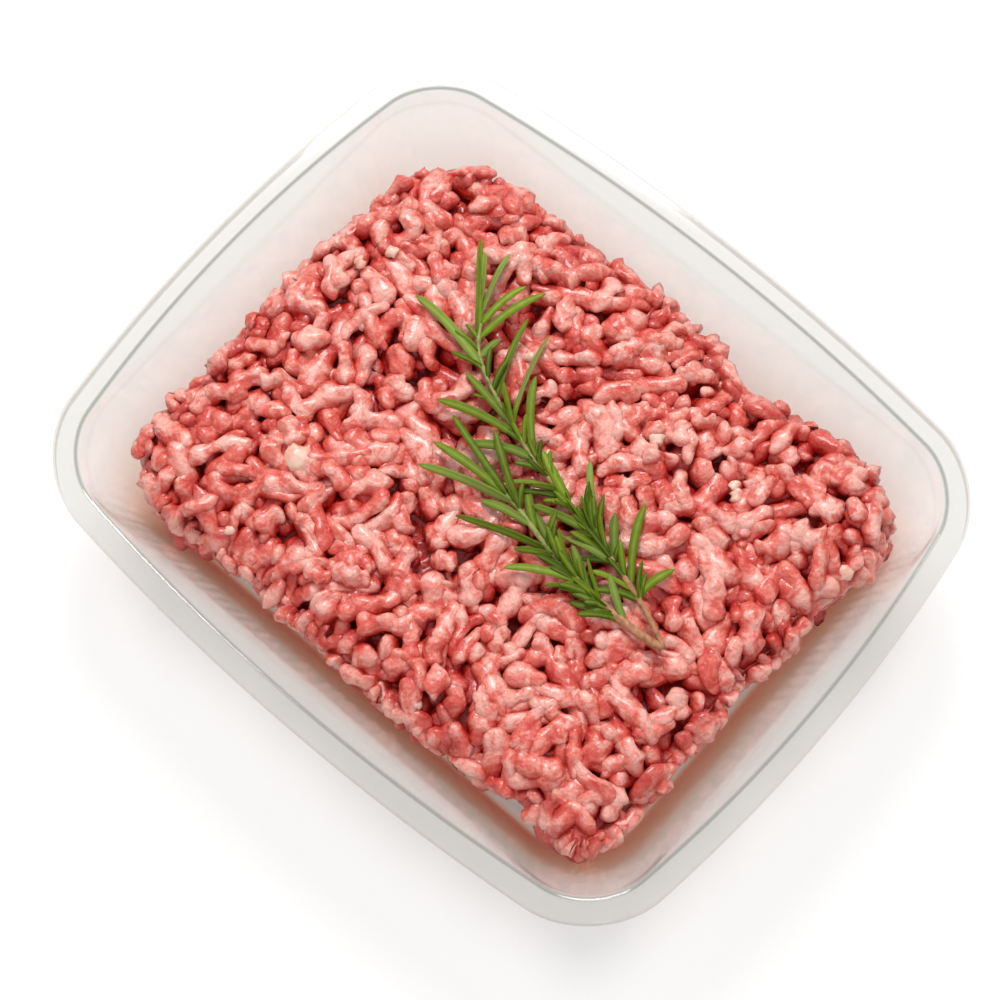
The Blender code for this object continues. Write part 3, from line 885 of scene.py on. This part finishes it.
def build_side(meat):
    """Strands laid round the heap's side, on a field of place round the outline and level.

    A point (place, level, height) goes to the outline's point at that place, moved along the
    outward normal there by the height less the side's inset at that level.
    """
    place, outline, normal = outline_track(0.5 * MM)
    total = place[-1] + 0.5 * MM
    shape = (int(total / CELL), int(30 * MM / CELL))
    field = Field((0.0, 0.0), shape, np.zeros(shape), np.zeros(shape), wraps=True)

    def spots(count):
        return np.stack((rng.uniform(0, total, count), rng.uniform(3.6 * MM, 25.5 * MM, count)), -1)

    def stay_level(flat):
        return np.stack((flat[:, 0], np.clip(flat[:, 1], 3.4 * MM, 26.0 * MM)), -1)

    lines, radius = lay_strands(field, lambda c: np.full(c.shape[:-1], SIDE_LAYER), 900, spots,
                                lambda c: grain_heading(c, SIDE_SWIRL, 13, 0.6),
                                strand_sizes(*SIDE_LENGTHS), SIDE_SINK, stay_level)
    rings = strand_rings(lines, radius, 11, 9)
    below = field.spread(4).read(rings[..., :2]) - rings[..., 2]
    along = rings[..., 0] % total
    level = np.maximum(rings[..., 1], 1.0 * MM)

    def track(values):
        looped = np.concatenate((values, values[:1]))
        return np.interp(along, np.append(place, total), looped)

    push = rings[..., 2] - np.interp(level, SIDE_LEVELS, SIDE_INSETS) - (SIDE_LAYER - 0.4 * MM)
    placed = np.stack((
        track(outline[:, 0]) + track(normal[:, 0]) * push,
        track(outline[:, 1]) + track(normal[:, 1]) * push,
        level,
    ), -1)
    # Painted light: the side of a side strand that faces out and up is made paler.
    outward = np.stack((track(normal[:, 0]), track(normal[:, 1]), np.ones_like(along)), -1)
    fatness = rng.normal(0.42, 0.10, len(lines))
    tint = strand_tint(upper_side(placed, radius, unit(outward)), below, fatness)
    # Weaker painted shade in the crevices of the side.
    tint[..., 1] *= 0.7
    add_meat("mince_side_strands", *many_skins(placed[..., ::-1, :], tint[..., ::-1, :]), meat)


def build_flecks(field, fat):
    """Flecks of fat pressed into the top of the heap, the largest at their own spots."""
    count = len(FAT_SPOTS) + SMALL_FLECKS
    order = iter(range(count))

    def spots(choices):
        number = next(order)
        return FAT_SPOTS[number][None, :2] if number < len(FAT_SPOTS) else top_spots(choices)

    def sizes(count):
        length = np.concatenate((FAT_SPOTS[:, 2], rng.uniform(2.5, 4.0, SMALL_FLECKS) * MM))
        return length, 0.32 * length + 0.3 * MM, rng.normal(0, 60, count)

    lines, radius = lay_strands(field, lambda c: field.read(c) + 1.0 * MM, count, spots,
                                lambda c: rng.uniform(0, math.pi, len(c)), sizes,
                                1.25, stay_inside, rows=7, choices=1)
    rings = strand_rings(lines, radius, 9, 10)
    add_meat("fat_flecks", *many_skins(rings, np.zeros((*rings.shape[:3], 3))), fat)


# ---------------------------------------------------------------- sprig

def smooth_route(corners, step):
    """A soft curve through the corners (Catmull-Rom), read at equal steps: points and lengths."""
    padded = np.concatenate((2 * corners[:1] - corners[1:2], corners, 2 * corners[-1:] - corners[-2:-1]))
    t = np.linspace(0, 1, 12, endpoint=False)[:, None]
    a, b, c, d = (padded[i:len(padded) - 3 + i, None] for i in range(4))
    curve = b + 0.5 * ((c - a) * t + (2 * a - 5 * b + 4 * c - d) * t ** 2 + (3 * b - a - 3 * c + d) * t ** 3)
    dense = np.concatenate((curve.reshape(-1, 2), corners[-1:]))
    length = np.concatenate(((0.0,), np.cumsum(np.linalg.norm(np.diff(dense, axis=0), axis=1))))
    place = np.arange(0.0, length[-1], step)
    return np.stack([np.interp(place, length, dense[:, axis]) for axis in (0, 1)], -1), place


def resting_level(skin, flat):
    """Level of a springy twig on the heap: the highest skin within 7 mm of each point, softened."""
    level = skin.read(flat)
    reach = 7
    padded = np.pad(level, reach, mode="edge")
    level = np.max([padded[shift:shift + len(level)] for shift in range(2 * reach + 1)], axis=0)
    for _ in range(3):
        padded = np.pad(level, reach, mode="edge")
        level = np.mean([padded[shift:shift + len(level)] for shift in range(2 * reach + 1)], axis=0)
    return level


def twig_line(skin, corners, lift):
    """A twig's middle line on the heap, a point each millimetre, and its lengths."""
    flat, place = smooth_route(corners, 1.0 * MM)
    level = resting_level(skin, flat) + lift
    return np.concatenate((flat, level[:, None]), 1), place


def build_twigs(twigs, nodes, thickness, material):
    """Woody twigs that thin out towards the tip and swell at each node.

    r = (thickness + (tip radius - thickness) s / length) * (1 + 0.22 * bump at each node + cloud noise).
    """
    parts = []
    for (line, place), feet, thick in zip(twigs, nodes, thickness):
        radius = thick + (TIP_RADIUS - thick) * place / place[-1]
        swell = np.exp(-((place[:, None] - feet[None]) / (0.9 * MM)) ** 2).max(1)
        radius = radius * (1 + 0.22 * swell + 0.10 * cloud(line, 3 * MM, 17))
        radius[-1] *= 0.4
        rings = cords(line[None], radius[None], radius[None], round_section(12), np.zeros(1))
        young = smoothstep((place / place[-1] - 0.25) / 0.5)
        tint = np.zeros((1, len(place), 12, 3))
        tint[..., 0] = young[None, :, None]
        parts.append(many_skins(rings, tint))
    start = len(parts[0][0])
    points, shades = (np.concatenate([part[k] for part in parts]) for k in (0, 3))
    quads, triangles = (np.concatenate((parts[0][k], parts[1][k] + start)) for k in (1, 2))
    return add_piece("rosemary_twigs", points, quads, triangles, material, shades)


def leaf_section(sides):
    """A rosemary leaf's unit section: furrowed along the middle above, its edges rolled under."""
    x, y = round_section(sides).T
    furrow = np.where(y > 0, 0.55 * np.exp(-(x / 0.32) ** 2), 0.45 * (1 - x ** 2) ** 2)
    return np.stack((x, y * (1 - furrow)), -1)


def build_needles(name, feet, ahead, tips, skin, width, tone, pale, material, rows=14, sides=16):
    """Needles as blades along curves: (1-t)^2 foot + 2t(1-t) control + t^2 tip, kept above the heap.

    The control point lies on towards the twig's tip, so a needle leaves the twig at a slant and
    bends away. w = width / 2 * (0.4 to 1 over the first sixth) * an ellipse over the last third.
    """
    count = len(feet)
    t = np.linspace(0.0, 1.0, rows)
    span = np.linalg.norm(tips - feet, axis=1)[:, None]
    control = feet + 0.42 * (tips - feet) + ahead * span * rng.uniform(0.06, 0.2, (count, 1))
    control[:, 2] += span[:, 0] * rng.uniform(0.02, 0.16, count)
    along = t[None, :, None]
    lines = (1 - along) ** 2 * feet[:, None] + 2 * along * (1 - along) * control[:, None]
    lines = lines + along ** 2 * tips[:, None]
    floor = skin.read(lines[..., :2]) - 0.6 * MM
    low = np.maximum(floor - lines[..., 2], 0.0) * np.clip(t / 0.3, 0, 1)[None]
    for _ in range(3):
        low[:, 1:-1] = 0.25 * low[:, :-2] + 0.5 * low[:, 1:-1] + 0.25 * low[:, 2:]
    lines[..., 2] += low
    shape = (0.4 + 0.6 * smoothstep(t / 0.16)) * np.sqrt(1 - np.clip((t - 0.66) / 0.345, 0, 1) ** 2)
    half = 0.5 * width[:, None] * shape * (1 + 0.06 * np.sin(9 * t + rng.uniform(0, 6, (count, 1))))
    thick = 0.5 * NEEDLE_THICKNESS * np.sqrt(shape)[None] * np.ones((count, 1))
    roll = rng.normal(0, 0.45, (count, 1)) + rng.normal(0, 0.5, (count, 1)) * (t - 0.5)
    rings = cords(lines, half, thick, leaf_section(sides), roll)
    x, y = round_section(sides).T
    middle = np.exp(-(x / 0.3) ** 2) * (y > 0)
    edge = smoothstep((np.abs(x) - 0.8) / 0.2)
    # Painted light: highlights along the middle and edges of the upper face; painted shade below.
    tone_and_painted_light = tone[:, None, None] + 0.10 * t[None, :, None] + 0.16 * middle - 0.28 * (y < 0) + 0.08 * edge
    # Green: the needle's own paleness plus a painted highlight along its middle.
    light = np.broadcast_to(np.clip(pale[:, None, None] + 0.2 * middle, 0, 1), tone_and_painted_light.shape)
    tint = np.stack((tone_and_painted_light, light, np.zeros_like(tone_and_painted_light)), -1)
    points, quads, triangles, shades = many_skins(rings, tint)
    return add_piece(name, points, quads, triangles, material, shades)


def build_sprig(field, leaf, bark):
    """A rosemary sprig of two twigs lying on the heap, with full grown and young needles."""
    skin = field.spread(2)
    twigs = [twig_line(skin, LONG_TWIG, 0.5 * MM), twig_line(skin, SHORT_TWIG, 0.3 * MM)]
    lists = (LONG_TWIG_NEEDLES, SHORT_TWIG_NEEDLES)
    pieces = [build_twigs(twigs, [needles[:, 0] for needles in lists], CUT_RADII, bark)]

    def on_twig(twig, distance):
        line, place = twig
        foot = np.stack([np.interp(distance, place, line[:, axis]) for axis in range(3)], -1)
        on = np.stack([np.interp(distance + 3 * MM, place, line[:, axis]) for axis in range(3)], -1)
        back = np.stack([np.interp(distance - 3 * MM, place, line[:, axis]) for axis in range(3)], -1)
        return foot, unit(on - back)

    feet, ahead, tips = [], [], []
    for twig, needles in zip(twigs, lists):
        foot, on = on_twig(twig, needles[:, 0])
        level = skin.read(needles[:, 1:]) + rng.uniform(0.0, 2.2, len(needles)) * MM
        feet.append(foot)
        ahead.append(on)
        tips.append(np.concatenate((needles[:, 1:], np.maximum(level, foot[:, 2] - 1.5 * MM)[:, None]), 1))
    feet, ahead, tips = (np.concatenate(group) for group in (feet, ahead, tips))
    count = len(feet)
    tone = 0.40 + rng.uniform(-0.12, 0.14, count)
    pale = 0.55 * rng.beta(0.8, 2.4, count)
    width = NEEDLE_WIDTH * rng.uniform(0.88, 1.12, count)
    pieces.append(build_needles("rosemary_needles", feet, ahead, tips, skin, width, tone, pale, leaf))

    feet, ahead, tips = [], [], []
    for twig, spots in zip(twigs, YOUNG_NEEDLES):
        reach = twig[1][-1]
        distance = BARE_END + (reach - BARE_END - 2 * MM) * rng.beta(1.0, 2.3, spots)
        foot, on = on_twig(twig, distance)
        turn = rng.choice((-1.0, 1.0), spots) * rng.uniform(0.05, 0.9, spots)
        side = np.stack((-on[:, 1], on[:, 0], np.zeros(spots)), -1)
        rise = rng.uniform(-0.05, 0.35, (spots, 1)) * (0.0, 0.0, 1.0)
        way = unit(on * np.cos(turn)[:, None] + side * np.sin(turn)[:, None] + rise)
        feet.append(foot)
        ahead.append(on)
        tips.append(foot + way * (rng.uniform(5.0, 13.0, spots) * MM)[:, None])
    feet, ahead, tips = (np.concatenate(group) for group in (feet, ahead, tips))
    count = len(feet)
    # The young needles lie low among the others: their darker tone is painted shade.
    pieces.append(build_needles(
        "rosemary_young_needles", feet, ahead, tips, skin, NEEDLE_WIDTH * rng.uniform(0.55, 0.85, count),
        0.30 + rng.uniform(-0.15, 0.15, count), np.zeros(count), leaf, rows=10, sides=12))
    for piece in pieces:
        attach(piece, "root")
        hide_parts("rosemary")


# ---------------------------------------------------------------- stage

def build_stage():
    """A pale floor, a soft lamp beyond the far side, a weak fill and a white surrounding."""
    corners = FLOOR_HALF * np.array(((-1, -1, 0), (1, -1, 0), (1, 1, 0), (-1, 1, 0)))
    floor = add_piece("floor", corners - (0, 0, FLOOR_GAP), np.array(((0, 1, 2, 3),)),
                      np.empty((0, 3), int), studio_paper())

    world = bpy.data.worlds.new("studio")
    bpy.context.scene.world = world
    world.use_nodes = True
    tree = world.node_tree
    tree.nodes.clear()
    rays = node(tree, "LightPath")
    plain = node(tree, "Math", {0: rays.outputs["Is Camera Ray"], 1: rays.outputs["Is Transmission Ray"]},
                 operation="MAXIMUM")
    strength = node(tree, "Mix", {"Factor": plain.outputs[0], "A": SURROUNDING, "B": 1.0}, data_type="FLOAT")
    sky = node(tree, "Background", {"Color": (1.0, 1.0, 1.0, 1.0), "Strength": strength.outputs["Result"]})
    tree.links.new(sky.outputs[0], node(tree, "OutputWorld").inputs["Surface"])

    def lamp(name, place, size, power):
        light = bpy.data.lights.new(name, "AREA")
        light.shape = "DISK"
        light.size = size
        light.energy = power
        item = bpy.data.objects.new(name, light)
        item.location = place
        aim = item.location.copy()
        aim.negate()
        item.rotation_euler = aim.to_track_quat("-Z", "Y").to_euler()
        bpy.context.scene.collection.objects.link(item)

    lamp("window", *WINDOW_LAMP)
    lamp("fill", *FILL_LAMP)


def build_camera():
    """The viewing angle, looking at the middle of the rim's plane."""
    azimuth = math.radians(VIEW_AZIMUTH)
    elevation = math.radians(VIEW_ELEVATION)
    back = np.array((
        math.sin(azimuth) * math.cos(elevation),
        -math.cos(azimuth) * math.cos(elevation),
        math.sin(elevation),
    ))
    data = bpy.data.cameras.new("camera")
    data.sensor_width = SENSOR_WIDTH
    data.lens = VIEW_LENS
    data.shift_x, data.shift_y = VIEW_SHIFT
    data.clip_start = 0.01
    camera = bpy.data.objects.new("camera", data)
    camera.location = np.array((0, 0, RIM_LEVEL)) + back * VIEW_DISTANCE
    camera.rotation_euler = (math.pi / 2 - elevation, 0.0, azimuth)
    bpy.context.scene.collection.objects.link(camera)
    bpy.context.scene.camera = camera


bpy.context.scene.view_settings.view_transform = "Standard"
build_camera()
build_stage()
build_tray(clear_pet())
meat = raw_mince()
build_core(meat)
top_field = build_top(meat)
build_side(meat)
build_flecks(top_field, beef_fat())
build_sprig(top_field, rosemary_leaf(), rosemary_stem())
